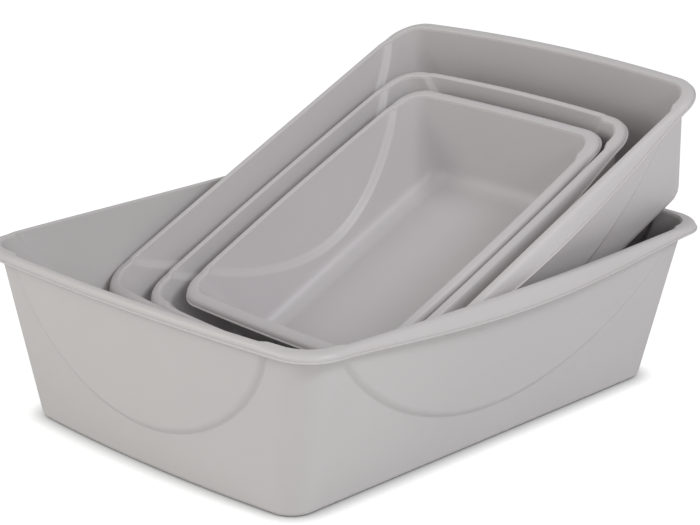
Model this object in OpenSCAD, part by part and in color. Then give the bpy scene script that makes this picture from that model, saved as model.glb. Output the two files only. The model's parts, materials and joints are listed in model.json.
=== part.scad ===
// Set of four nesting litter pans: giant, large, medium and small.
// The giant pan stands on its foot. The large pan leans in it, with its low foot edge on the
// giant's floor and its underside on the giant's far rim, and carries the two smaller pans.
// X runs along the pans, Z is up, and the origin is the centre of the giant's foot.

/* [Giant pan] */
// Length over the rim
giant_length = 560; // [535:1:620]
// Width over the rim
giant_width = 469; // [445:1:500]
// Height from the foot to the top of the rim
giant_height = 164.5; // [150:0.5:180]
// Slope of the end walls, degrees from upright
giant_end_slope = 5.75; // [4:0.25:10]
// Slope of the side walls, degrees from upright
giant_side_slope = 15.25; // [12:0.25:18]
// Radius of the rim's outer corners
giant_corner = 39.5; // [34:0.5:48]
// Inner radius of the walls' corners at the rim
giant_wall_corner = 31.5; // [26:0.5:38]
// Radius of the corners at the foot
giant_foot_corner = 32; // [20:1:36]
// Outward bow of each end in plan
giant_end_bow = 7; // [3:0.5:9]
// Outward bow of each side in plan
giant_side_bow = 5; // [3:0.5:9]
// Dip of the rim's crest at the middle of each side
giant_rim_dip = 2.25; // [0:0.25:4]
// Depth of the arched panels on the ends below the rim
giant_end_drop = 123; // [100:1:130]
// Depth of the arched panels on the sides below the rim
giant_side_drop = 124; // [100:1:130]
// Outer radius where the walls meet the foot
giant_foot_round = 5; // [4:0.5:9]

/* [Large pan] */
// Room at each end between its rim and the giant's end walls, level with the giant's rim
large_end_play = 24.5; // [20:0.25:34]
// Gap between the low corners of its rim and the giant's side walls
large_wall_gap = 0.8; // [0.8:0.1:4]
// Height from the foot to the top of the rim
large_height = 119; // [112:1:128]
// Slope of the end walls, degrees from upright
large_end_slope = 10.25; // [7:0.25:13]
// Slope of the side walls, degrees from upright
large_side_slope = 12.5; // [10:0.25:15]
// Radius of the rim's outer corners
large_corner = 38.5; // [34:0.5:46]
// Inner radius of the walls' corners at the rim
large_wall_corner = 25; // [21:1:34]
// Radius of the corners at the foot
large_foot_corner = 25; // [20:1:32]
// Outward bow of each end in plan
large_end_bow = 8; // [2:0.5:9]
// Outward bow of each side in plan
large_side_bow = 0; // [0:0.5:5]
// Dip of the rim's crest at the middle of each side
large_rim_dip = 0; // [0:0.25:4]
// Depth of the arched panels on the ends below the rim, 0 for plain ends
large_end_drop = 0; // [0:88:88]
// Depth of the arched panels on the sides below the rim
large_side_drop = 88; // [75:1:92]
// Outer radius where the walls meet the foot
large_foot_round = 12; // [8:0.5:14]

/* [Medium pan] */
// Room at each end between its rim and the large pan's end walls
medium_end_play = 19.75; // [14:0.25:26]
// Room at each side between its grips and the large pan's side walls
medium_side_play = 16.75; // [12:0.25:24]
// Height from the foot to the top of the rim
medium_height = 96; // [90:0.5:102]
// Slope of the end walls, degrees from upright
medium_end_slope = 13; // [10:0.5:14]
// Slope of the side walls, degrees from upright
medium_side_slope = 13; // [10:0.5:15]
// Radius of the rim's outer corners
medium_corner = 38; // [34:1:46]
// Inner radius of the walls' corners at the rim
medium_wall_corner = 22.5; // [19:0.5:32]
// Radius of the corners at the foot
medium_foot_corner = 25; // [20:1:30]
// Outward bow of each end in plan
medium_end_bow = 4; // [3:0.5:7]
// Outward bow of each side in plan
medium_side_bow = 2.5; // [0.5:0.5:5]
// Dip of the rim's crest at the middle of each side
medium_rim_dip = 0; // [0:0.25:4]
// Depth of the arched panels on the ends below the rim
medium_end_drop = 72; // [60:1:74]
// Depth of the arched panels on the sides below the rim
medium_side_drop = 72; // [60:1:74]
// Outer radius where the walls meet the foot
medium_foot_round = 11; // [8:0.5:14]

/* [Small pan] */
// Room at each end between its rim and the medium pan's end walls
small_end_play = 13.5; // [9:0.25:20]
// Room at each side between its grips and the medium pan's side walls
small_side_play = 8; // [7.75:0.25:14]
// Height from the foot to the top of the rim
small_height = 91.5; // [84:0.5:96]
// Slope of the end walls, degrees from upright
small_end_slope = 14; // [10:0.5:16]
// Slope of the side walls, degrees from upright
small_side_slope = 14; // [10:0.5:16]
// Radius of the rim's outer corners
small_corner = 30; // [27:1:40]
// Inner radius of the walls' corners at the rim
small_wall_corner = 22; // [19:1:30]
// Radius of the corners at the foot
small_foot_corner = 24; // [19:1:28]
// Outward bow of each end in plan
small_end_bow = 1.5; // [0.5:0.5:5]
// Outward bow of each side in plan
small_side_bow = 3; // [0.5:0.5:6]
// Dip of the rim's crest at the middle of each side
small_rim_dip = 0; // [0:0.25:4]
// Depth of the arched panels on the ends below the rim, 0 for plain ends
small_end_drop = 0; // [0:66:66]
// Depth of the arched panels on the sides below the rim
small_side_drop = 69; // [55:1:72]
// Outer radius where the walls meet the foot
small_foot_round = 11; // [8:0.5:14]

/* [Walls] */
// Thickness of the walls and the rim
wall = 2.4; // [1.8:0.1:3.2]
// Thickness of the floors
floor_thickness = 2.6; // [2:0.1:4]
// Inner radius where the walls meet the floor
floor_round = 11; // [8:0.5:14]
// How far the arched panels stand out from the wall
panel_step = 4; // [2.5:0.25:5.5]
// Width of the sloping edge round each panel
panel_edge = 7; // [5:0.5:9]
// Length of wall between a panel and the rounded corner
panel_inset = 5; // [4:1:20]

/* [Rim] */
// Width of the rim along the panels
rim_width = 10; // [9:0.5:12]
// Fall of the rim's top from its crown to its outer edge, at the corners
rim_fall = 2.5; // [1.5:0.25:4]
// Depth of the skirt under the rim's outer edge, at the corners
rim_skirt = 6; // [4:0.5:8]
// Extra fall of the rim's top at the middle of each side, where a hand grips it
grip_fall = 8.5; // [4:0.5:10]
// Extra depth of the skirt at the middle of each side
grip_skirt = 3; // [1:0.5:5]
// Extra width of the rim at the middle of each side
grip_width = 2.5; // [0.5:0.5:4]
// Radius of the rim's outer top edge
lip_round = 1.5; // [0.5:0.25:2]

/* [Arrangement] */
// Distance from the large pan's centre to where its underside rests on the giant's rim
lean_reach = 168.25; // [160:0.25:178]
// Turn of the leaning stack about the upright, in degrees
stack_turn = -3; // [-3.5:0.1:3]
// Shift of the leaning stack across the giant pan
stack_shift = -6.25; // [-8:0.25:6]
// Gap between a pan and what it rests on
seat_gap = 0.3; // [0.2:0.05:0.5]
// Gap between the medium pan's rim and the large pan's low end wall
slide_gap = 2.8; // [2.4:0.1:6]
// Shift of the medium pan across the large pan
medium_shift = 8; // [-8:0.25:8]
// Shift of the small pan along the medium pan, towards the high end
small_slide = 0; // [-6:0.5:8]
// Shift of the small pan across the medium pan
small_shift = -7; // [-7.25:0.25:7.25]

/* [Hidden] */

// Fullness of the panels' arches on the ends and the sides: 0.5 is an ellipse, 1 a parabola
end_arch_power = 0.65;
side_arch_power = 0.8;
// Fullness of the grips along the sides
grip_power = 1.5;
// Least height between two rings of the wall where a panel ends under the rim
ring_gap = 1.2;
// Radius of the rim's crown, on which the large pan's underside rests
crown = 2.2;
// Columns of points on half of a panelled end, a panelled side or a plain end, and in a corner
end_columns = 5;
side_columns = 8;
plain_columns = 3;
corner_columns = 5;

// ---- Sizes that follow from the pan outside ------------------------------------------------
// Half of the room between two opposite inner walls at height z, measured between their panels
function inner_half(rim_half, height, slope, z) =
    rim_half - rim_width - panel_step - (height - z) * tan(slope);

// The large pan's length follows from the giant's, and its lean from two contacts: the round of
// its foot on the giant's floor, and the flat of its foot on the crown of the giant's far rim
large_length = 2 * (giant_length / 2 - rim_width - large_end_play);
large_foot_half = inner_half(large_length / 2, large_height, large_end_slope, 0)
    + wall / cos(large_end_slope) - large_foot_round;
rim_crown_x = giant_length / 2 - rim_width + crown;
rim_crown_z = giant_height - crown;
low_z = floor_thickness + large_foot_round + seat_gap;
contact_run = lean_reach + large_foot_half;
contact_offset = crown + seat_gap + large_foot_round;
lean = asin((rim_crown_z - low_z) / norm([contact_run, contact_offset]))
    + atan(contact_offset / contact_run);
large_z = low_z + large_foot_half * sin(lean) - large_foot_round * cos(lean);

// Its width is what the giant's side walls leave at the low corners of its rim
low_corner_along = -(large_length / 2 - large_corner - large_end_bow);
low_corner_up = large_height - rim_fall - rim_skirt;
low_corner_x = rim_crown_x + (low_corner_along - lean_reach) * cos(lean)
    - (low_corner_up + crown + seat_gap) * sin(lean);
low_corner_z = large_z + low_corner_along * sin(lean) + low_corner_up * cos(lean);
giant_rim_half = giant_width / 2 - grip_width;
giant_core_x = giant_length / 2 - giant_corner - giant_end_bow;
giant_wall_y = inner_half(giant_rim_half, giant_height, giant_side_slope, low_corner_z) + panel_step
    - giant_side_bow * low_corner_z / giant_height * pow(low_corner_x / giant_core_x, 2);
stack_offset = abs(stack_shift + low_corner_x * sin(stack_turn));
large_rim_half = (giant_wall_y - stack_offset - large_wall_gap) / cos(stack_turn);
large_width = 2 * (large_rim_half + grip_width);

// Each smaller pan stands on the floor of the next one, with its own room around its rim
nest_z = floor_thickness + seat_gap;
rim_depth = rim_fall + rim_skirt;
grip_depth = rim_depth + grip_fall + grip_skirt;
medium_rim_z = nest_z + medium_height - rim_depth;
medium_grip_z = nest_z + medium_height - grip_depth;
medium_length = 2 * (inner_half(large_length / 2, large_height, large_end_slope, medium_rim_z)
    + (large_end_drop > 0 ? panel_step : 0) - medium_end_play);
medium_width = 2 * (inner_half(large_rim_half, large_height, large_side_slope, medium_grip_z)
    + panel_step - medium_side_play);
small_rim_z = nest_z + small_height - rim_depth;
small_grip_z = nest_z + small_height - grip_depth;
small_length = 2 * (inner_half(medium_length / 2, medium_height, medium_end_slope, small_rim_z)
    + (medium_end_drop > 0 ? panel_step : 0) - small_end_play);
small_width = 2 * (inner_half(medium_width / 2 - grip_width, medium_height, medium_side_slope,
    small_grip_z) + panel_step - small_side_play);

// A pan's sizes in one list, and the names of its places
giant = [giant_length, giant_width, giant_height, giant_end_slope, giant_side_slope,
    giant_corner, giant_wall_corner, giant_foot_corner, giant_end_bow, giant_side_bow,
    giant_end_drop, giant_side_drop, giant_foot_round, giant_rim_dip];
large = [large_length, large_width, large_height, large_end_slope, large_side_slope,
    large_corner, large_wall_corner, large_foot_corner, large_end_bow, large_side_bow,
    large_end_drop, large_side_drop, large_foot_round, large_rim_dip];
medium = [medium_length, medium_width, medium_height, medium_end_slope, medium_side_slope,
    medium_corner, medium_wall_corner, medium_foot_corner, medium_end_bow, medium_side_bow,
    medium_end_drop, medium_side_drop, medium_foot_round, medium_rim_dip];
small = [small_length, small_width, small_height, small_end_slope, small_side_slope,
    small_corner, small_wall_corner, small_foot_corner, small_end_bow, small_side_bow,
    small_end_drop, small_side_drop, small_foot_round, small_rim_dip];
LENGTH = 0;
WIDTH = 1;
HEIGHT = 2;
END_SLOPE = 3;
SIDE_SLOPE = 4;
CORNER = 5;
WALL_CORNER = 6;
FOOT_CORNER = 7;
END_BOW = 8;
SIDE_BOW = 9;
END_DROP = 10;
SIDE_DROP = 11;
FOOT_ROUND = 12;
RIM_DIP = 13;

// ---- Columns ------------------------------------------------------------------------------
// The outline is walked in columns, anticlockwise from the +X end. A column is
// [side, t, bend, panel]: side 0 to 3, t from -1 to 1 along the side, bend from 0 to 1 round the
// corner after it, and panel, its place on the panel from -1 to 1, or 2 outside it.
function panel_drop(side, pan) = side % 2 == 0 ? pan[END_DROP] : pan[SIDE_DROP];
function panel_half_columns(side) = side % 2 == 0 ? end_columns : side_columns;
function core_x(pan) = pan[LENGTH] / 2 - pan[CORNER] - pan[END_BOW];
function core_y(pan) = pan[WIDTH] / 2 - grip_width - pan[CORNER] - pan[SIDE_BOW];
function panel_end(side, pan) = 1 - panel_inset / (side % 2 == 0 ? core_y(pan) : core_x(pan));
function panel_columns(side, pan) = [
    for (i = [-panel_half_columns(side):panel_half_columns(side)])
        let (place = sin(90 * i / panel_half_columns(side)))
            [side, place * panel_end(side, pan), 0, place]
];
function plain_columns_of(side) = [
    for (i = [1 - plain_columns:plain_columns - 1])
        [side, i / plain_columns, 0, 2]
];
function side_columns_of(side, pan) = concat(
    [[side, -1, 0, 2]],
    panel_drop(side, pan) > 0 ? panel_columns(side, pan) : plain_columns_of(side),
    [[side, 1, 0, 2]]
);
function corner_columns_of(side) = [
    for (i = [1:corner_columns])
        [side, 1, i / (corner_columns + 1), 2]
];
function columns(pan) = [
    for (side = [0:3])
        each concat(side_columns_of(side, pan), corner_columns_of(side))
];

// ---- Plan outlines ------------------------------------------------------------------------
// An outline is [half length, half width, corner radius, end bow, side bow].
// bowed() gives the point of a column on it, moved out by `out` along its normal.
function turned(p, side) = [
    [p[0], p[1]], [-p[1], p[0]], [-p[0], -p[1]], [p[1], -p[0]]
][side];
function bowed(outline, column, out) =
    let (end = column[0] % 2 == 0)
    let (half = end ? outline[0] : outline[1])
    let (other = end ? outline[1] : outline[0])
    let (bow = end ? outline[3] : outline[4])
    let (next_bow = end ? outline[4] : outline[3])
    let (r = outline[2])
    let (run = other - next_bow - r)
    let (next_run = half - bow - r)
    let (t = column[1])
    let (lean = atan(2 * bow * t / run))
    let (turn_end = 90 - atan(2 * next_bow / next_run))
    let (angle = column[2] == 0 ? lean : lean + (turn_end - lean) * column[2])
    let (reach = r + out)
    turned([half - bow * t * t - r + reach * cos(angle), run * t + reach * sin(angle)], column[0]);

// Outer outline of the rim, without the grips
function rim_outline(pan) =
    [pan[LENGTH] / 2, pan[WIDTH] / 2 - grip_width, pan[CORNER], pan[END_BOW], pan[SIDE_BOW]];

// Outline of the inner wall between its panels at height z, and of the outer wall
function inner_outline(pan, z) =
    let (up = z / pan[HEIGHT])
    let (foot_corner = pan[FOOT_CORNER] - wall)
    [
        inner_half(pan[LENGTH] / 2, pan[HEIGHT], pan[END_SLOPE], z),
        inner_half(pan[WIDTH] / 2 - grip_width, pan[HEIGHT], pan[SIDE_SLOPE], z),
        foot_corner + (pan[WALL_CORNER] - foot_corner) * up,
        pan[END_BOW],
        pan[SIDE_BOW] * up
    ];
function outer_outline(pan, z) =
    let (inner = inner_outline(pan, z))
    [
        inner[0] + wall / cos(pan[END_SLOPE]),
        inner[1] + wall / cos(pan[SIDE_SLOPE]),
        inner[2] + wall,
        inner[3],
        inner[4]
    ];

// ---- Panels and grips ---------------------------------------------------------------------
// How far out the wall stands above the panel's edge: all of the step on the panel, none beside it
function on_panel(column) = abs(column[3]) < 0.999 ? 1 : 0;

// Height of the arch through a column, of the panel's edge or, moved in, of its flat part
function arch_power(column) = column[0] % 2 == 0 ? end_arch_power : side_arch_power;
function arch(column, end, low, high) =
    let (place = min(abs(column[3]) / end, 1))
    high - (high - low) * pow(1 - place * place, arch_power(column));
function flat_end(column) =
    let (half = panel_half_columns(column[0]))
    sin(90 * (half - 1) / half);
function arch_low(pan, column, extra, raised) =
    pan[HEIGHT] - panel_drop(column[0], pan) - extra + raised;
function edge_z(pan, column, high, extra) =
    min(arch(column, 1, arch_low(pan, column, extra, 0), high), high - 3 * ring_gap);
function middle_z(pan, column, high, extra) =
    min(arch(column, 1, arch_low(pan, column, extra, panel_edge * 0.4), high), high - 2 * ring_gap);
function flat_z(pan, column, high, extra) =
    min(arch(column, flat_end(column), arch_low(pan, column, extra, panel_edge), high),
        high - ring_gap);

// Strength of the grip at a column: 1 at the middle of each side, 0 at the ends and corners
function grip(column) =
    column[0] % 2 == 0 || column[2] > 0 ? 0 : pow(1 - column[1] * column[1], grip_power);
function fall(column) = rim_fall + grip_fall * grip(column);
function skirt(column) = rim_skirt + grip_skirt * grip(column);

// ---- The moulded shell --------------------------------------------------------------------
// Each ring is a list of points, one for each column, from the foot up the outside, over the rim
// and down the inside to the floor.
function ring(outline, column_list, out, z) = [
    for (c = column_list)
        let (p = bowed(outline, c, out(c)))
            [p[0], p[1], z(c)]
];

function pan_rings(pan) =
    let (c = columns(pan))
    let (top = pan[HEIGHT])
    let (foot = pan[FOOT_ROUND])
    let (rim = rim_outline(pan))
    let (crest = function (c) top - pan[RIM_DIP] * grip(c))
    let (slope = function (c, share) crest(c) + share * (top - fall(c) - crest(c)))
    let (under = function (c) crest(c) - crown - wall)
    let (edge = function (c) crest(c) - crown)
    let (outer = function (z) outer_outline(pan, z))
    let (inner = function (z) inner_outline(pan, z))
    let (panel = function (c) panel_step * on_panel(c))
    let (grip_out = function (c) grip_width * grip(c))
    let (round_out = function (r, a) -r * (1 - sin(a)))
    let (round_up = function (r, a) r * (1 - cos(a)))
    concat(
        [for (a = [0, 45, 90])
            ring(outer(round_up(foot, a)), c, function (c) round_out(foot, a),
                function (c) round_up(foot, a))],
        [
            [for (k = c) placed(outer, k, 0, edge_z(pan, k, under(k), wall / 2))],
            [for (k = c) placed(outer, k, 0.55 * panel(k), middle_z(pan, k, under(k), wall / 2))],
            [for (k = c) placed(outer, k, panel(k), flat_z(pan, k, under(k), wall / 2))],
            [for (k = c) placed(outer, k, panel(k), under(k))],
            ring(rim, c, function (c) grip_out(c) - wall, function (c) top - fall(c) - wall),
            ring(rim, c, function (c) grip_out(c) - wall, function (c) top - fall(c) - skirt(c)),
            ring(rim, c, grip_out, function (c) top - fall(c) - skirt(c)),
            ring(rim, c, grip_out, function (c) top - fall(c) - lip_round),
            ring(rim, c, function (c) grip_out(c) - lip_round, function (c) slope(c, 0.9)),
            ring(inner(top), c, function (c) panel(c) + 2 * crown, function (c) slope(c, 0.2)),
            ring(inner(top), c, function (c) panel(c) + crown, crest),
            ring(inner(top), c, function (c) panel(c) + 0.3 * crown, function (c) crest(c) - 0.3 * crown),
            ring(inner(top), c, panel, edge),
            [for (k = c) placed(inner, k, panel(k), flat_z(pan, k, edge(k), 0))],
            [for (k = c) placed(inner, k, 0.55 * panel(k), middle_z(pan, k, edge(k), 0))],
            [for (k = c) placed(inner, k, 0, edge_z(pan, k, edge(k), 0))]
        ],
        [for (a = [90, 60, 30, 0])
            ring(inner(floor_thickness + round_up(floor_round, a)), c,
                function (c) round_out(floor_round, a),
                function (c) floor_thickness + round_up(floor_round, a))]
    );

// A column's point on a sloping wall at height z, moved out by `out`
function placed(outline_at, column, out, z) =
    let (p = bowed(outline_at(z), column, out))
    [p[0], p[1], z];

// The rings joined into one closed solid
module pan_shell(pan) {
    rings = pan_rings(pan);
    n = len(rings[0]);
    last = len(rings) - 1;
    points = [for (r = rings) each r];
    sides = [
        for (i = [0:last - 1])
            for (j = [0:n - 1])
                let (k = (j + 1) % n)
                    each [
                        [i * n + j, (i + 1) * n + j, (i + 1) * n + k],
                        [i * n + j, (i + 1) * n + k, i * n + k]
                    ]
    ];
    foot = [for (j = [0:n - 1]) j];
    floor_face = [for (j = [n - 1:-1:0]) last * n + j];
    polyhedron(points = points, faces = concat(sides, [foot, floor_face]), convexity = 6);
}

// ---- How the pans stand -------------------------------------------------------------------
// The crown of the giant's far rim falls back towards the corners, and with the stack's turn, so
// the large pan's foot meets it first at one edge: the least distance over the foot's width
seat_y = outer_outline(large, 0)[1] - large_foot_round;
seat_x = min([
    for (i = [-1:0.25:1])
        let (y = stack_shift + rim_crown_x * sin(stack_turn) + i * seat_y)
        let (x = rim_crown_x - giant_end_bow * pow(y / core_y(giant), 2))
            x * cos(stack_turn) + (y - stack_shift) * sin(stack_turn)
]);
large_x = seat_x - lean_reach * cos(lean) - (crown + seat_gap) * sin(lean);

// The medium pan has slid down against the large pan's low end wall
medium_x = slide_gap - medium_end_play;

// The leaning stack's frame, seen from the giant's
module leaning() {
    translate([0, stack_shift, 0])
        rotate([0, 0, stack_turn])
            translate([large_x, 0, large_z])
                rotate([0, -lean, 0])
                    children();
}

// ---- The pans -----------------------------------------------------------------------------
module giant_pan() {
    color("#c3c1be") pan_shell(giant);
}

module large_pan() {
    color("#bebcbb") leaning() pan_shell(large);
}

module medium_pan() {
    color("#bab8b8") leaning() translate([medium_x, medium_shift, nest_z]) pan_shell(medium);
}

module small_pan() {
    color("#b6b5b7")
        leaning()
            translate([medium_x + small_slide, medium_shift + small_shift, 2 * nest_z])
                pan_shell(small);
}

giant_pan();
large_pan();
medium_pan();
small_pan();
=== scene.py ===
"""Nesting litter pans in satin moulded plastic, laid out as an add-on.

Four pans of one family: the largest stands on the floor, and the second leans in it with the
two smaller ones inside. Each pan is extruded ring by ring from its foot, up the outside, over
the rolled rim and down to the floor inside. Sizes are in metres, in the frame of the CAD model.
"""

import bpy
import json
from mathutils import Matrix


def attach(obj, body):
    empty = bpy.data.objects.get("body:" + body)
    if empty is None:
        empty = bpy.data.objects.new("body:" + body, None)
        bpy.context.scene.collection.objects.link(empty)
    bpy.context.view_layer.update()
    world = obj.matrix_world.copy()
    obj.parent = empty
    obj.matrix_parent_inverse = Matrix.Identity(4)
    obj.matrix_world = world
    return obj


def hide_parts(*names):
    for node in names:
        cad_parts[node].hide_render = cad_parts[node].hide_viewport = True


bl_info = {
    "name": "Nesting Litter Pans",
    "version": (1, 0, 0),
    "blender": (4, 5, 0),
    "location": "3D View > Sidebar > Pans",
    "description": "Builds a set of nesting litter pans with arched wall panels and rolled rims",
    "category": "Add Mesh",
}

import json
import math

import bmesh
import bpy
import numpy as np
from bpy.props import FloatProperty, FloatVectorProperty, PointerProperty
from mathutils import Matrix, Vector

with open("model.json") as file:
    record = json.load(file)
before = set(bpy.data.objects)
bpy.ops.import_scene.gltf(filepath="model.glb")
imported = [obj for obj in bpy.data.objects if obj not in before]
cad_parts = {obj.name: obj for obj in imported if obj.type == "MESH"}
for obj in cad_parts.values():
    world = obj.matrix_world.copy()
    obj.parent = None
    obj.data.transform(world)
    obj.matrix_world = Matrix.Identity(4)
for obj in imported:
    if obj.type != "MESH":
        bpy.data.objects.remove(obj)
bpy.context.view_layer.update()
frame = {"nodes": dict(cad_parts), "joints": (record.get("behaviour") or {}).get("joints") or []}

# ---- Fineness ----------------------------------------------------------------------------------
CORNER_COLUMNS = 14  # columns round a corner
PANEL_COLUMNS = 16  # columns along half of a panel
EDGE_COLUMNS = 8  # columns over a panel's end
EDGE_REACH = 1.25  # width of a panel's end, in widths of the panel's edge
BEYOND_PANEL = (0.2, 0.5, 1.0)  # columns between a panel and its corner
ARCH_POINTS = 241  # points along an arch
STEP_PLACES = np.linspace(-0.15, 1.1, 11)  # rings across an arch's step, in edge widths
WALL_PLACES = (0.35, 0.7)  # rings of plain wall between a panel and the foot or floor
RING_GAP = 0.00025  # least height between two rings under the rim
FOOT_STEPS = 6
BEAD_STEPS = 6
ROLL_STEPS = 12
CROWN_STEPS = 7
FLOOR_STEPS = 7
CROWN_START = 78  # where the roll meets the crown, in degrees from its outermost point
BEAD_CORNER = 0.3  # share of the bead's radius that is cut off at its inner corner
START_RADIUS = 0.2  # radius of the circle of columns before its first ring is laid
SMOOTH_ANGLE = math.radians(40)  # sharper edges than this stay sharp
CONTACT_SAMPLES = 12  # rays of the soft contact shadow
ON_ARCH = 1e-9  # a point this close under an arch counts as on it
IN_ORDER = 1e-12  # points this close along an arch count as in order


# ---- Settings ----------------------------------------------------------------------------------
def length(name, description, default):
    """A length that can be set, in metres."""
    return FloatProperty(
        name=name, description=description, default=default, min=0.0, unit="LENGTH"
    )


def angle(name, description, degrees):
    """An angle that can be set, given here in degrees."""
    return FloatProperty(
        name=name, description=description, default=math.radians(degrees), subtype="ANGLE"
    )


def colour(name, description, default):
    """A colour that can be set, in linear light."""
    return FloatVectorProperty(
        name=name, description=description, default=default, min=0.0, max=1.0, subtype="COLOR"
    )


def factor(name, description, default, top=1.0):
    """A plain number that can be set."""
    return FloatProperty(name=name, description=description, default=default, min=0.0, max=top)


def settings_group(label, text, fields):
    """A PropertyGroup class with these fields."""
    return type(label, (bpy.types.PropertyGroup,), {"__doc__": text, "__annotations__": fields})


def pan_sizes(label, values):
    """A PropertyGroup class with the sizes of one pan that its CAD box doesn't give."""
    names = {
        "corner": "Outer corner radius of the rim",
        "wall_corner": "Inner corner radius of the walls at the rim",
        "foot_corner": "Corner radius at the foot",
        "end_bow": "Outward bow of each end",
        "side_bow": "Outward bow of each side",
        "rim_dip": "Dip of the rim's crest at the middle of each side",
        "end_drop": "Depth of the arched panels on the ends below the rim, 0 for plain ends",
        "side_drop": "Depth of the arched panels on the sides below the rim",
        "end_inset": "Wall between an end's panel and the rounded corner",
        "side_inset": "Wall between a side's panel and the rounded corner",
        "foot_round": "Outer radius where the walls meet the foot",
        "floor_round": "Inner radius where the walls meet the floor",
    }
    fields = {
        key: length(key.replace("_", " ").capitalize(), text, values[key])
        for key, text in names.items()
    }
    fields["end_slope"] = angle(
        "End slope", "Slope of the end walls from upright", values["end_slope"]
    )
    fields["side_slope"] = angle(
        "Side slope", "Slope of the side walls from upright", values["side_slope"]
    )
    fields["end_fullness"] = factor(
        "End fullness", "Fullness of the ends' arches: 0.5 is an ellipse", values["end_fullness"]
    )
    fields["side_fullness"] = factor(
        "Side fullness", "Fullness of the sides' arches: 1 is a parabola", values["side_fullness"]
    )
    return settings_group(label, "Sizes of one pan", fields)


GiantPanSizes = pan_sizes(
    "GiantPanSizes",
    dict(
        corner=0.0395,
        wall_corner=0.0315,
        foot_corner=0.025,
        end_bow=0.007,
        side_bow=0.005,
        rim_dip=0.00225,
        end_drop=0.123,
        side_drop=0.124,
        foot_round=0.005,
        floor_round=0.011,
        end_inset=0.016,
        side_inset=0.0015,
        end_fullness=0.49,
        side_fullness=0.75,
        end_slope=5.75,
        side_slope=15.25,
    ),
)
LargePanSizes = pan_sizes(
    "LargePanSizes",
    dict(
        corner=0.0385,
        wall_corner=0.025,
        foot_corner=0.025,
        end_bow=0.008,
        side_bow=0.0,
        rim_dip=0.0,
        end_drop=0.0,
        side_drop=0.088,
        foot_round=0.014,
        floor_round=0.011,
        end_inset=0.005,
        side_inset=0.005,
        end_fullness=0.65,
        side_fullness=0.8,
        end_slope=10.45,
        side_slope=12.5,
    ),
)
MediumPanSizes = pan_sizes(
    "MediumPanSizes",
    dict(
        corner=0.038,
        wall_corner=0.0225,
        foot_corner=0.025,
        end_bow=0.004,
        side_bow=0.0025,
        rim_dip=0.0,
        end_drop=0.072,
        side_drop=0.072,
        foot_round=0.013,
        floor_round=0.011,
        end_inset=0.005,
        side_inset=0.005,
        end_fullness=0.65,
        side_fullness=0.8,
        end_slope=13.0,
        side_slope=13.0,
    ),
)
SmallPanSizes = pan_sizes(
    "SmallPanSizes",
    dict(
        corner=0.03,
        wall_corner=0.022,
        foot_corner=0.024,
        end_bow=0.0015,
        side_bow=0.003,
        rim_dip=0.0,
        end_drop=0.0,
        side_drop=0.069,
        foot_round=0.0125,
        floor_round=0.0155,
        end_inset=0.005,
        side_inset=0.005,
        end_fullness=0.65,
        side_fullness=0.8,
        end_slope=14.0,
        side_slope=14.0,
    ),
)


class MouldingSizes(bpy.types.PropertyGroup):
    """Wall, panel and rim sizes that all the pans share"""

    wall: length("Wall", "Thickness of the walls and the rim", 0.0024)
    floor_thickness: length("Floor", "Thickness of the floors", 0.0026)
    panel_step: length("Panel step", "How far the arched panels stand out", 0.004)
    panel_edge: length("Panel edge", "Width of the soft edge round each panel", 0.008)
    lip_ease: length("Lip ease", "How far the rim is drawn in from its box", 0.0007)
    rim_width: length("Rim width", "Width of the rim along the panels", 0.010)
    rim_fall: length("Rim fall", "Fall of the rim's top towards its outer edge", 0.0025)
    rim_skirt: length("Rim skirt", "Depth of the skirt under the outer edge", 0.006)
    skirt_corner: length("Skirt corner", "Soft corner under the rim, inside the skirt", 0.0008)
    grip_fall: length("Grip fall", "Extra fall at the middle of each side", 0.0085)
    grip_skirt: length("Grip skirt", "Extra depth of the skirt at the middle", 0.003)
    grip_width: length("Grip width", "Extra width at the middle of each side", 0.0025)
    grip_taper: factor("Grip taper", "How early the grips fade towards the corners", 1.5, 4.0)
    crown: length("Crown", "Radius of the rounded inner edge of the rim", 0.0022)
    bead: length("Bead", "Radius of the bead at the skirt's foot", 0.001)
    bead_step: length("Bead step", "How far the bead stands out from the skirt", 0.0004)
    roll: factor("Roll", "Squareness of the rim's roll: 1 is an ellipse, 0 a corner", 0.8)


class PlasticFinish(bpy.types.PropertyGroup):
    """Colours and surface of the satin polypropylene"""

    giant: colour("Giant pan", "Colour of the giant pan", (0.539, 0.522, 0.520))
    large: colour("Large pan", "Colour of the large pan", (0.540, 0.519, 0.524))
    medium: colour("Medium pan", "Colour of the medium pan", (0.538, 0.518, 0.524))
    small: colour("Small pan", "Colour of the small pan", (0.536, 0.516, 0.526))
    mottle: factor("Mottle", "Strength of the cloudy tone in the plastic", 0.03)
    mottle_scale: factor("Mottle scale", "Clouds of tone to a metre", 9.0, 10000.0)
    roughness: factor("Roughness", "Roughness of the satin surface", 0.4)
    gloss_spread: factor("Gloss spread", "How far the roughness strays either way", 0.05)
    gloss_scale: factor("Gloss scale", "Patches of gloss to a metre", 35.0, 10000.0)
    grain: length("Grain", "Height of the fine moulded grain", 0.00003)
    grain_strength: factor("Grain strength", "Strength of the grain's bump", 0.4)
    grain_scale: factor("Grain scale", "Grains to a metre", 900.0, 10000.0)
    ior: factor("IOR", "Refractive index of the plastic", 1.49, 4.0)


def soft_box_settings(label, where, side, turn, height, power, tint):
    """A PropertyGroup class with the settings of one soft box."""
    fields = {
        "side": length("Side", f"Side of the {where} soft box", side),
        "turn": angle("Turn", f"Turn of the {where} soft box from the camera's azimuth", turn),
        "height": angle("Height", f"Angle of the {where} soft box above the horizon", height),
        "power": factor("Power", f"Power of the {where} soft box, in watts", power, 1000.0),
        "tint": colour("Tint", f"Colour of the {where} soft box", tint),
    }
    return settings_group(label, f"Place, size and light of the {where} soft box", fields)


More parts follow.
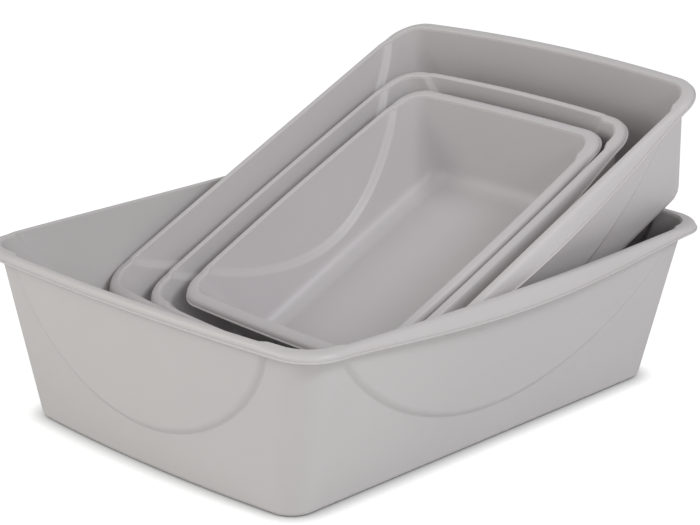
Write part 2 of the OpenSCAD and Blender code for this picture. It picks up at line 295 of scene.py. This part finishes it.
LeftBoxSettings = soft_box_settings(
    "LeftBoxSettings", "left", 1.8, turn=-75, height=20, power=29.0, tint=(1.0, 0.98, 0.915)
)
GlintBoxSettings = soft_box_settings(
    "GlintBoxSettings", "glint", 0.7, turn=-44, height=38, power=4.0, tint=(1.0, 0.985, 0.985)
)
FrontBoxSettings = soft_box_settings(
    "FrontBoxSettings", "front", 0.7, turn=15, height=18, power=12.0, tint=(1.0, 0.985, 0.985)
)
RightBoxSettings = soft_box_settings(
    "RightBoxSettings", "right", 0.7, turn=47, height=38, power=29.0, tint=(0.965, 0.972, 1.0)
)


class StudioSettings(bpy.types.PropertyGroup):
    """Camera, floor and even light"""

    lens: FloatProperty(
        name="Lens", description="Focal length in millimetres", default=112.467, min=20.0
    )
    azimuth: angle("Azimuth", "Turn of the camera round the pans", -45.39)
    elevation: angle("Elevation", "Height of the camera above the horizon", 18.24)
    roll: angle("Roll", "Roll of the camera", -0.13)
    distance: length("Distance", "From the camera to its target", 2.07)
    target: FloatVectorProperty(
        name="Target",
        description="The point that the camera looks at",
        default=(-0.00227, -0.00413, 0.13111),
        subtype="TRANSLATION",
        unit="LENGTH",
    )
    shift_x: FloatProperty(name="Shift X", description="Sideways lens shift", default=0.0022)
    shift_y: FloatProperty(name="Shift Y", description="Upward lens shift", default=0.0035)
    box_distance: length("Box distance", "From the pans to each soft box", 3.2)
    box_aim: length("Box aim", "Height of the point that the soft boxes face", 0.1)
    sky: factor("Sky", "Strength of the even light all round", 0.505, 10.0)
    floor_size: length("Floor size", "Side of the floor", 60.0)
    floor_drop: length("Floor drop", "Gap that keeps the floor off the foot", 0.0002)
    floor_white: factor("Floor white", "Whiteness of the floor in the light on the pans", 0.86)
    floor_roughness: factor("Floor roughness", "Roughness of the floor", 0.9)
    floor_shade: factor("Floor shade", "Share of the floor's light that the camera sees", 0.5, 4.0)
    floor_glow: factor("Floor glow", "Light that the floor shows by itself", 0.72, 2.0)
    # The soft contact shadow is painted shade: ambient occlusion in the floor's material darkens
    # its colour and glow near the pans.
    contact_reach: length("Contact reach", "How far the soft contact shadow spreads", 0.018)
    contact_depth: factor("Contact depth", "Strength of the soft contact shadow", 0.75, 4.0)


SETTINGS = {
    "pans_giant": GiantPanSizes,
    "pans_large": LargePanSizes,
    "pans_medium": MediumPanSizes,
    "pans_small": SmallPanSizes,
    "pans_moulding": MouldingSizes,
    "pans_finish": PlasticFinish,
    "pans_left_box": LeftBoxSettings,
    "pans_glint_box": GlintBoxSettings,
    "pans_front_box": FrontBoxSettings,
    "pans_right_box": RightBoxSettings,
    "pans_studio": StudioSettings,
}


# ---- Where a pan stands ------------------------------------------------------------------------
def lean_matrix():
    """Turns a pan's own axes to those of the leaning stack: its upright is the lift's axis."""
    lift = next(j for j in frame["joints"] if j["name"] == "medium_lift")
    up = Vector(lift["axis"]).normalized()
    across = up.cross(Vector((up.x, up.y, 0.0))).normalized()
    along = across.cross(up)
    return Matrix((along, across, up)).transposed()


def pan_place(node, turn):
    """(length, width, height, matrix): a pan's size, and the matrix that sets it on its place."""
    back = turn.transposed()
    points = np.array([back @ v.co for v in frame["nodes"][node].data.vertices])
    low, high = points.min(0), points.max(0)
    size = high - low
    foot = Vector(((low[0] + high[0]) / 2, (low[1] + high[1]) / 2, low[2]))
    return size[0], size[1], size[2], Matrix.Translation(turn @ foot) @ turn.to_4x4()


# ---- Columns -----------------------------------------------------------------------------------
# The outline is walked in columns, anticlockwise from the middle of the +X end. Each column has
# its side (0 to 3), its place t along the side's straight run (-1 to 1), and bend, its place
# round the corner that follows (0 to 1).
def side_places(run, panel, edge):
    """Distances along a side from its middle: close together where a panel ends."""
    end = EDGE_REACH * edge
    reach = panel - end
    inside = [reach * math.sin(math.pi / 2 * i / PANEL_COLUMNS) for i in range(1, PANEL_COLUMNS)]
    at_edge = [reach + end * i / EDGE_COLUMNS for i in range(EDGE_COLUMNS + 1)]
    beyond = [panel + (run - panel) * f for f in BEYOND_PANEL]
    half = inside + at_edge + beyond
    return [-d for d in reversed(half)] + [0.0] + half


def columns(shape):
    """Arrays (side, t, bend, along) of the columns, and each side's half panel length."""
    rows, panels = [], []
    for side in range(4):
        if side % 2 == 0:
            half, other, inset = shape.half_y - shape.grip_width, shape.side_bow, shape.end_inset
        else:
            half, other, inset = shape.half_x, shape.end_bow, shape.side_inset
        run = half - other - shape.corner
        panel = run - inset
        panels.append(panel)
        rows += [(side, d / run, 0.0, d) for d in side_places(run, panel, shape.panel_edge)]
        rows += [
            (side, 1.0, i / (CORNER_COLUMNS + 1), run + i) for i in range(1, CORNER_COLUMNS + 1)
        ]
    side, t, bend, along = (np.array(c) for c in zip(*rows))
    return side.astype(int), t, bend, along, np.array(panels)


# ---- Outlines and panels -----------------------------------------------------------------------
def rounded_step(f):
    """Rise of the outer wall's step at f of its width: it starts sharp and ends level."""
    return f * (2 - f)


def soft_step(f):
    """Rise of the inner wall's step at f of its width: it starts and ends softly."""
    return f * (1 + 3 * f - 2 * f**2) / 2


class PanShape:
    """One pan's sizes and the outlines that follow from them."""

    def __init__(self, sizes, moulding, box_length, box_width, height):
        for source in (moulding, sizes):
            for key in source.__annotations__:
                setattr(self, key, getattr(source, key))
        self.height = height
        self.half_x = box_length / 2
        self.half_y = box_width / 2
        self.side, self.t, self.bend, self.along, self.panels = columns(self)
        self.flat = np.zeros(self.t.shape)
        self.grip = np.where(
            (self.side % 2 == 1) & (self.bend == 0),
            np.clip(1 - self.t**2, 0, 1) ** self.grip_taper,
            0.0,
        )
        self.fall = self.rim_fall + self.grip_fall * self.grip
        self.skirt = self.rim_skirt + self.grip_skirt * self.grip
        self.crest = self.height - self.rim_dip * self.grip
        self.drops = [self.end_drop, self.side_drop] * 2

    def rim(self):
        """Outer outline of the rim, without its grips."""
        return [
            self.half_x - self.lip_ease,
            self.half_y - self.grip_width - self.lip_ease,
            self.corner,
            self.end_bow,
            self.side_bow,
        ]

    def inner(self, z):
        """Outline of the inner wall between its panels, at heights z."""
        down = self.height - z
        up = z / self.height
        inset = self.rim_width + self.panel_step
        foot_corner = self.foot_corner - self.wall
        return [
            self.half_x - inset - down * math.tan(self.end_slope),
            self.half_y - self.grip_width - inset - down * math.tan(self.side_slope),
            foot_corner + (self.wall_corner - foot_corner) * up,
            self.end_bow,
            self.side_bow * up,
        ]

    def outer(self, z):
        """Outline of the outer wall between its panels, at heights z."""
        half_x, half_y, radius, end_bow, side_bow = self.inner(z)
        return [
            half_x + self.wall / math.cos(self.end_slope),
            half_y + self.wall / math.cos(self.side_slope),
            radius + self.wall,
            end_bow,
            side_bow,
        ]

    def ring(self, outline, out, z):
        """Points of a ring: each column's point on the outline, moved out along its normal."""
        end = self.side % 2 == 0
        half_x, half_y, radius, end_bow, side_bow = (
            np.broadcast_to(v, self.t.shape) for v in outline
        )
        half, other = np.where(end, half_x, half_y), np.where(end, half_y, half_x)
        bow, next_bow = np.where(end, end_bow, side_bow), np.where(end, side_bow, end_bow)
        run = other - next_bow - radius
        next_run = half - bow - radius
        tilt = np.arctan(2 * bow * self.t / run)
        corner_end = math.pi / 2 - np.arctan(2 * next_bow / next_run)
        turn = tilt + (corner_end - tilt) * self.bend
        a = half - bow * self.t**2 - radius + (radius + out) * np.cos(turn)
        b = run * self.t + (radius + out) * np.sin(turn)
        x = np.choose(self.side, [a, -b, -a, b])
        y = np.choose(self.side, [b, a, -b, -a])
        return np.stack([x, y, np.broadcast_to(z, x.shape)], axis=1)

    def arch(self, side, high, extra):
        """Points (along, z) of the arch round a side's panel, which hangs lower by extra."""
        fullness = self.end_fullness if side % 2 == 0 else self.side_fullness
        low = self.height - self.drops[side] - extra
        a = np.linspace(-math.pi / 2, math.pi / 2, ARCH_POINTS)
        return np.stack(
            [self.panels[side] * np.sin(a), high - (high - low) * np.cos(a) ** (2 * fullness)],
            axis=1,
        )

    def panelled(self):
        """The sides that have a panel, each with the numbers of its columns."""
        for side in range(4):
            if self.drops[side] > 0:
                yield side, np.nonzero((self.side == side) & (self.bend == 0))[0]

    def panel_out(self, z, high, extra, step_form):
        """How far the wall stands out at heights z, by the form of its step along each arch."""
        depth = self.flat.copy()
        for side, pick in self.panelled():
            line = self.arch(side, high, extra)
            p = np.stack([self.along[pick], np.minimum(z[pick], high)], axis=1)
            start, step = line[:-1], np.diff(line, axis=0)
            f = ((p[:, None] - start) * step).sum(2) / (step**2).sum(1)
            near = start + step * np.clip(f, 0, 1)[:, :, None]
            gap = np.linalg.norm(p[:, None] - near, axis=2).min(1)
            edge = np.interp(p[:, 0], line[:, 0], line[:, 1])
            level = np.abs(p[:, 0]) < self.panels[side]
            depth[pick] = np.where(level & (p[:, 1] >= edge - ON_ARCH), gap, 0.0)
        return self.panel_step * step_form(np.clip(depth / self.panel_edge, 0, 1))

    def arch_height(self, offset, high, extra):
        """Height of each column where it crosses the arch moved in by offset."""
        z = np.full(self.t.shape, high)
        for side, pick in self.panelled():
            line = self.arch(side, high, extra)
            step = np.gradient(line, axis=0)
            normal = np.stack([-step[:, 1], step[:, 0]], axis=1)
            normal /= np.linalg.norm(normal, axis=1)[:, None]
            moved = line + offset * normal
            keep = np.maximum.accumulate(moved[:, 0]) <= moved[:, 0] + IN_ORDER
            moved = moved[keep]
            z[pick] = np.interp(
                self.along[pick], moved[:, 0], moved[:, 1], left=high, right=high
            )
        return np.minimum(z, high)


# ---- Rings -------------------------------------------------------------------------------------
def arc(start, end, steps):
    """Angles from start to end, in degrees, as radians."""
    return [math.radians(start + (end - start) * i / steps) for i in range(steps + 1)]


def outer_wall(shape):
    """Rings of the foot and the outer wall with its panels, up to the rim's underside."""
    high = shape.height - shape.crown - shape.wall
    under = shape.crest - shape.crown - shape.wall
    extra = shape.wall / 2
    r = shape.foot_round
    rings = []
    for a in arc(0, 90, FOOT_STEPS):
        z = shape.flat + r * (1 - math.cos(a))
        rings.append(shape.ring(shape.outer(z), -r * (1 - math.sin(a)), z))
    levels = [shape.arch_height(o, high, extra) for o in STEP_PLACES * shape.panel_edge]
    n = len(levels)
    levels = [np.minimum(z, under - (n + 1 - i) * RING_GAP) for i, z in enumerate(levels)]
    heights = [r + (levels[0] - r) * f for f in WALL_PLACES]
    heights += levels
    heights += [(levels[-1] + under) / 2, under]
    for z in heights:
        out = shape.panel_out(z, high, extra, rounded_step)
        rings.append(shape.ring(shape.outer(z), out, z))
    return rings


def rim_underside(shape):
    """Rings under the rim, down inside the skirt and round the bead at its foot."""
    bead, corner = shape.bead, shape.skirt_corner
    grip = shape.grip_width * shape.grip
    inside = grip - 2 * bead - shape.bead_step
    lip_top = shape.height - shape.fall
    lip_foot = lip_top - shape.skirt
    profile = [
        (inside - corner, lip_top - shape.wall),
        (inside, lip_top - shape.wall - corner),
        (inside, lip_foot + bead),
        (inside + BEAD_CORNER * bead, lip_foot + BEAD_CORNER * bead),
        (inside + bead, lip_foot),
    ]
    profile += [
        (grip - bead + bead * math.cos(a), lip_foot + bead + bead * math.sin(a))
        for a in arc(-90, 90, BEAD_STEPS)
    ]
    profile += [(grip - bead - shape.bead_step, lip_foot + 2 * bead)]
    return [shape.ring(shape.rim(), out, z) for out, z in profile]


def rim_roll(shape, foot_ring):
    """Rings of the rim's roll from the bead up to the crown, and round the crown to the wall."""
    r = shape.crown
    top = shape.flat + shape.height
    inner = shape.inner(top)
    step_out = shape.panel_out(top, shape.height - r, 0.0, soft_step)
    crown = [
        shape.ring(inner, step_out + r + r * math.cos(a), shape.crest - r + r * math.sin(a))
        for a in arc(CROWN_START, 180, CROWN_STEPS)
    ]
    rise = crown[0] - foot_ring
    roll = []
    for a in arc(0, 90, ROLL_STEPS)[1:-1]:
        inward = 1 - math.cos(a) ** shape.roll
        up = math.sin(a) ** shape.roll
        roll.append(foot_ring + rise * np.array([inward, inward, up]))
    return roll + crown


def inner_wall(shape):
    """Rings of the inner wall with its panels, from the rim down to the floor."""
    high = shape.height - shape.crown
    edge = shape.crest - shape.crown
    r, low = shape.floor_round, shape.floor_thickness
    levels = [shape.arch_height(o, high, 0.0) for o in STEP_PLACES[::-1] * shape.panel_edge]
    levels = [np.minimum(z, edge - (i + 2) * RING_GAP) for i, z in enumerate(levels)]
    heights = [(edge + levels[0]) / 2]
    heights += levels
    heights += [levels[-1] + (low + r - levels[-1]) * f for f in WALL_PLACES]
    rings = []
    for z in heights:
        out = shape.panel_out(z, high, 0.0, soft_step)
        rings.append(shape.ring(shape.inner(z), out, z))
    for a in arc(90, 0, FLOOR_STEPS):
        z = shape.flat + low + r * (1 - math.cos(a))
        rings.append(shape.ring(shape.inner(z), -r * (1 - math.sin(a)), z))
    return rings


def pan_rings(shape):
    """Every ring of a pan, from the foot up the outside, over the rim and down the inside."""
    rings = outer_wall(shape) + rim_underside(shape)
    rings += rim_roll(shape, rings[-1])
    return rings + inner_wall(shape)


# ---- Modelling ---------------------------------------------------------------------------------
def deselect_all():
    """Leaves nothing selected, in object mode."""
    if bpy.context.object and bpy.context.object.mode != "OBJECT":
        bpy.ops.object.mode_set(mode="OBJECT")
    bpy.ops.object.select_all(action="DESELECT")


def lay_ring(mesh, points):
    """Moves the selected ring of vertices to its points, each by its column number."""
    form = bmesh.from_edit_mesh(mesh)
    column = form.verts.layers.int["column"]
    for v in form.verts:
        if v.select:
            v.co = points[v[column]]
    bmesh.update_edit_mesh(mesh)


def extrude_pan(name, rings, place):
    """A closed pan: a circle of columns is filled and extruded from ring to ring."""
    deselect_all()
    bpy.ops.mesh.primitive_circle_add(
        vertices=len(rings[0]), radius=START_RADIUS, fill_type="NOTHING"
    )
    pan = bpy.context.object
    pan.name = name
    pan.data.name = name
    bpy.ops.object.mode_set(mode="EDIT")
    form = bmesh.from_edit_mesh(pan.data)
    form.verts.ensure_lookup_table()
    column = form.verts.layers.int.new("column")
    for i, v in enumerate(form.verts):
        v[column] = i
    bmesh.update_edit_mesh(pan.data)
    bpy.ops.mesh.select_all(action="SELECT")
    bpy.ops.mesh.edge_face_add()
    bpy.ops.mesh.select_all(action="SELECT")
    lay_ring(pan.data, rings[0])
    for points in rings[1:]:
        bpy.ops.mesh.extrude_region_move()
        lay_ring(pan.data, points)
    bpy.ops.mesh.select_all(action="SELECT")
    bpy.ops.mesh.normals_make_consistent(inside=False)
    bpy.ops.object.mode_set(mode="OBJECT")
    pan.data.transform(place)
    pan.data.update()
    bpy.ops.object.shade_smooth_by_angle(angle=SMOOTH_ANGLE)
    return pan


# ---- Materials ---------------------------------------------------------------------------------
def new_material(name):
    """(material, nodes, links, shader): a material with its Principled shader."""
    material = bpy.data.materials.new(name)
    material.use_nodes = True
    nodes = material.node_tree.nodes
    return material, nodes, material.node_tree.links, nodes["Principled BSDF"]


def mix_sockets(nodes, kind):
    """(factor, a, b, result): the sockets of a new Mix node of kind FLOAT or RGBA."""
    mix = nodes.new("ShaderNodeMix")
    mix.data_type = kind
    a, b, result = {"FLOAT": (2, 3, 0), "RGBA": (6, 7, 2)}[kind]
    return mix.inputs[0], mix.inputs[a], mix.inputs[b], mix.outputs[result]


def satin_plastic(name, base, finish):
    """Satin polypropylene: a faintly cloudy tone, fine moulded grain and softly varied gloss."""
    material, nodes, links, shader = new_material(name)
    place = nodes.new("ShaderNodeTexCoord")

    def noise(scale, detail):
        texture = nodes.new("ShaderNodeTexNoise")
        texture.inputs["Scale"].default_value = scale
        texture.inputs["Detail"].default_value = detail
        links.new(place.outputs["Object"], texture.inputs["Vector"])
        return texture.outputs["Fac"]

    cloud = noise(finish.mottle_scale, detail=3.0)
    share, low, high, tone = mix_sockets(nodes, "RGBA")
    low.default_value = (*[c * (1 - finish.mottle) for c in base], 1.0)
    high.default_value = (*[min(1.0, c * (1 + finish.mottle)) for c in base], 1.0)
    links.new(cloud, share)
    links.new(tone, shader.inputs["Base Color"])

    patches = noise(finish.gloss_scale, detail=4.0)
    gloss = nodes.new("ShaderNodeMapRange")
    gloss.inputs["To Min"].default_value = finish.roughness - finish.gloss_spread
    gloss.inputs["To Max"].default_value = finish.roughness + finish.gloss_spread
    links.new(patches, gloss.inputs["Value"])
    links.new(gloss.outputs["Result"], shader.inputs["Roughness"])

    grain = noise(finish.grain_scale, detail=2.0)
    bump = nodes.new("ShaderNodeBump")
    bump.inputs["Strength"].default_value = finish.grain_strength
    bump.inputs["Distance"].default_value = finish.grain
    links.new(grain, bump.inputs["Height"])
    links.new(bump.outputs["Normal"], shader.inputs["Normal"])

    shader.inputs["IOR"].default_value = finish.ior
    return material


def studio_white(studio):
    """A white that shows some light by itself to the camera, and takes the pans' shadow."""
    material, nodes, links, shader = new_material("studio_white")
    shader.inputs["Roughness"].default_value = studio.floor_roughness
    shader.inputs["Specular IOR Level"].default_value = 0.0
    shader.inputs["Emission Color"].default_value = (1.0, 1.0, 1.0, 1.0)
    path = nodes.new("ShaderNodeLightPath")
    # Painted contact shade: for camera rays, ambient occlusion darkens the floor's colour and glow
    # near the pans.
    near = nodes.new("ShaderNodeAmbientOcclusion")
    near.samples = CONTACT_SAMPLES
    near.inputs["Distance"].default_value = studio.contact_reach
    contact = nodes.new("ShaderNodeMath")
    contact.operation = "POWER"
    contact.inputs[1].default_value = studio.contact_depth
    links.new(near.outputs["AO"], contact.inputs[0])
    for part, unseen, seen in (
        ("Base Color", studio.floor_white, studio.floor_shade),
        ("Emission Strength", 0.0, studio.floor_glow),
    ):
        scaled = nodes.new("ShaderNodeMath")
        scaled.operation = "MULTIPLY"
        scaled.inputs[1].default_value = seen
        links.new(contact.outputs["Value"], scaled.inputs[0])
        by_camera, elsewhere, in_view, value = mix_sockets(nodes, "FLOAT")
        elsewhere.default_value = unseen
        links.new(path.outputs["Is Camera Ray"], by_camera)
        links.new(scaled.outputs["Value"], in_view)
        links.new(value, shader.inputs[part])
    return material


# ---- Studio ------------------------------------------------------------------------------------
def direction(azimuth, elevation):
    """The direction from the pans towards a camera or lamp."""
    return Vector(
        (
            math.sin(azimuth) * math.cos(elevation),
            -math.cos(azimuth) * math.cos(elevation),
            math.sin(elevation),
        )
    )


def lay_floor(studio):
    """Lays the floor that the pans stand on."""
    deselect_all()
    bpy.ops.mesh.primitive_plane_add(
        size=studio.floor_size, location=(0.0, 0.0, -studio.floor_drop)
    )
    floor = bpy.context.object
    floor.name = "studio_floor"
    floor.data.materials.append(studio_white(studio))


def hang_soft_box(scene, name):
    """Hangs a square lamp that faces the pans."""
    studio, box = scene.pans_studio, getattr(scene, "pans_" + name)
    lamp = bpy.data.lights.new(name, "AREA")
    lamp.shape = "SQUARE"
    lamp.size = box.side
    lamp.energy = box.power
    lamp.color = box.tint
    holder = bpy.data.objects.new(name, lamp)
    towards = direction(studio.azimuth + box.turn, box.height)
    holder.location = Vector((0, 0, studio.box_aim)) + towards * studio.box_distance
    holder.rotation_euler = (-towards).to_track_quat("-Z", "Y").to_euler()
    scene.collection.objects.link(holder)


def light_sky(scene, studio):
    """Lights the pans evenly from all round, with a sky that is white to the camera."""
    world = bpy.data.worlds.new("studio_sky")
    world.use_nodes = True
    nodes, links = world.node_tree.nodes, world.node_tree.links
    sky = nodes["Background"]
    sky.inputs["Color"].default_value = (1.0, 1.0, 1.0, 1.0)
    path = nodes.new("ShaderNodeLightPath")
    strength = nodes.new("ShaderNodeMapRange")
    strength.inputs["To Min"].default_value = studio.sky
    strength.inputs["To Max"].default_value = 1.0
    links.new(path.outputs["Is Camera Ray"], strength.inputs["Value"])
    links.new(strength.outputs["Result"], sky.inputs["Strength"])
    scene.world = world


def set_camera(scene, studio):
    """Sets up the camera, level but for its small roll."""
    back = direction(studio.azimuth, studio.elevation)
    data = bpy.data.cameras.new("studio_camera")
    data.lens = studio.lens
    data.shift_x = studio.shift_x
    data.shift_y = studio.shift_y
    camera = bpy.data.objects.new("studio_camera", data)
    right = Vector((0, 0, 1)).cross(back).normalized()
    up = back.cross(right)
    axes = Matrix((right, up, back)).transposed() @ Matrix.Rotation(studio.roll, 3, "Z")
    camera.matrix_world = (
        Matrix.Translation(Vector(studio.target) + back * studio.distance) @ axes.to_4x4()
    )
    scene.collection.objects.link(camera)
    scene.camera = camera


# ---- Operators ---------------------------------------------------------------------------------
class PanOperator:
    """Builds one pan over its CAD node"""

    bl_options = {"REGISTER", "UNDO"}

    def execute(self, context):
        scene = context.scene
        node = self.key + "_pan"
        turn = Matrix.Identity(3) if self.key == "giant" else lean_matrix()
        box_length, box_width, height, place = pan_place(node, turn)
        sizes = getattr(scene, "pans_" + self.key)
        shape = PanShape(sizes, scene.pans_moulding, box_length, box_width, height)
        pan = extrude_pan(self.key + "_pan_moulding", pan_rings(shape), place)
        finish = scene.pans_finish
        pan.data.materials.append(
            satin_plastic(self.key + "_satin_plastic", getattr(finish, self.key), finish)
        )
        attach(pan, node)
        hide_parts(node)
        return {"FINISHED"}


class PANS_OT_giant(PanOperator, bpy.types.Operator):
    """Builds the giant pan, which stands on its foot"""

    bl_idname = "pans.giant"
    bl_label = "Giant Pan"
    key = "giant"


class PANS_OT_large(PanOperator, bpy.types.Operator):
    """Builds the large pan, which leans in the giant one"""

    bl_idname = "pans.large"
    bl_label = "Large Pan"
    key = "large"


class PANS_OT_medium(PanOperator, bpy.types.Operator):
    """Builds the medium pan, which lies in the large one"""

    bl_idname = "pans.medium"
    bl_label = "Medium Pan"
    key = "medium"


class PANS_OT_small(PanOperator, bpy.types.Operator):
    """Builds the small pan, which lies in the medium one"""

    bl_idname = "pans.small"
    bl_label = "Small Pan"
    key = "small"


class PANS_OT_studio(bpy.types.Operator):
    """Sets up the pale floor, the soft light and the camera"""

    bl_idname = "pans.studio"
    bl_label = "Studio"
    bl_options = {"REGISTER", "UNDO"}

    def execute(self, context):
        scene, studio = context.scene, context.scene.pans_studio
        lay_floor(studio)
        for name in ("left_box", "glint_box", "front_box", "right_box"):
            hang_soft_box(scene, name)
        light_sky(scene, studio)
        set_camera(scene, studio)
        scene.view_settings.view_transform = "Standard"
        return {"FINISHED"}


class PANS_PT_panel(bpy.types.Panel):
    """Lists the pans, the studio and their settings"""

    bl_label = "Nesting Litter Pans"
    bl_idname = "PANS_PT_panel"
    bl_space_type = "VIEW_3D"
    bl_region_type = "UI"
    bl_category = "Pans"

    def draw(self, context):
        for step in STEPS:
            self.layout.operator(step.bl_idname)
        for key, group in SETTINGS.items():
            box = self.layout.box()
            box.label(text=key.removeprefix("pans_").replace("_", " ").capitalize())
            for name in group.__annotations__:
                box.prop(getattr(context.scene, key), name)


STEPS = [PANS_OT_giant, PANS_OT_large, PANS_OT_medium, PANS_OT_small, PANS_OT_studio]


def register():
    """Registers the settings, the operators and the panel."""
    for key, group in SETTINGS.items():
        bpy.utils.register_class(group)
        setattr(bpy.types.Scene, key, PointerProperty(type=group))
    for item in [*STEPS, PANS_PT_panel]:
        bpy.utils.register_class(item)


def unregister():
    """Removes what register added."""
    for item in reversed([*STEPS, PANS_PT_panel]):
        bpy.utils.unregister_class(item)
    for key, group in reversed(SETTINGS.items()):
        delattr(bpy.types.Scene, key)
        bpy.utils.unregister_class(group)


def main():
    """Builds the pans and the studio, and writes the sizes of the CAD and visual models."""
    register()
    bpy.ops.pans.giant()
    bpy.ops.pans.large()
    bpy.ops.pans.medium()
    bpy.ops.pans.small()
    bpy.ops.pans.studio()


if __name__ == "__main__":
    main()
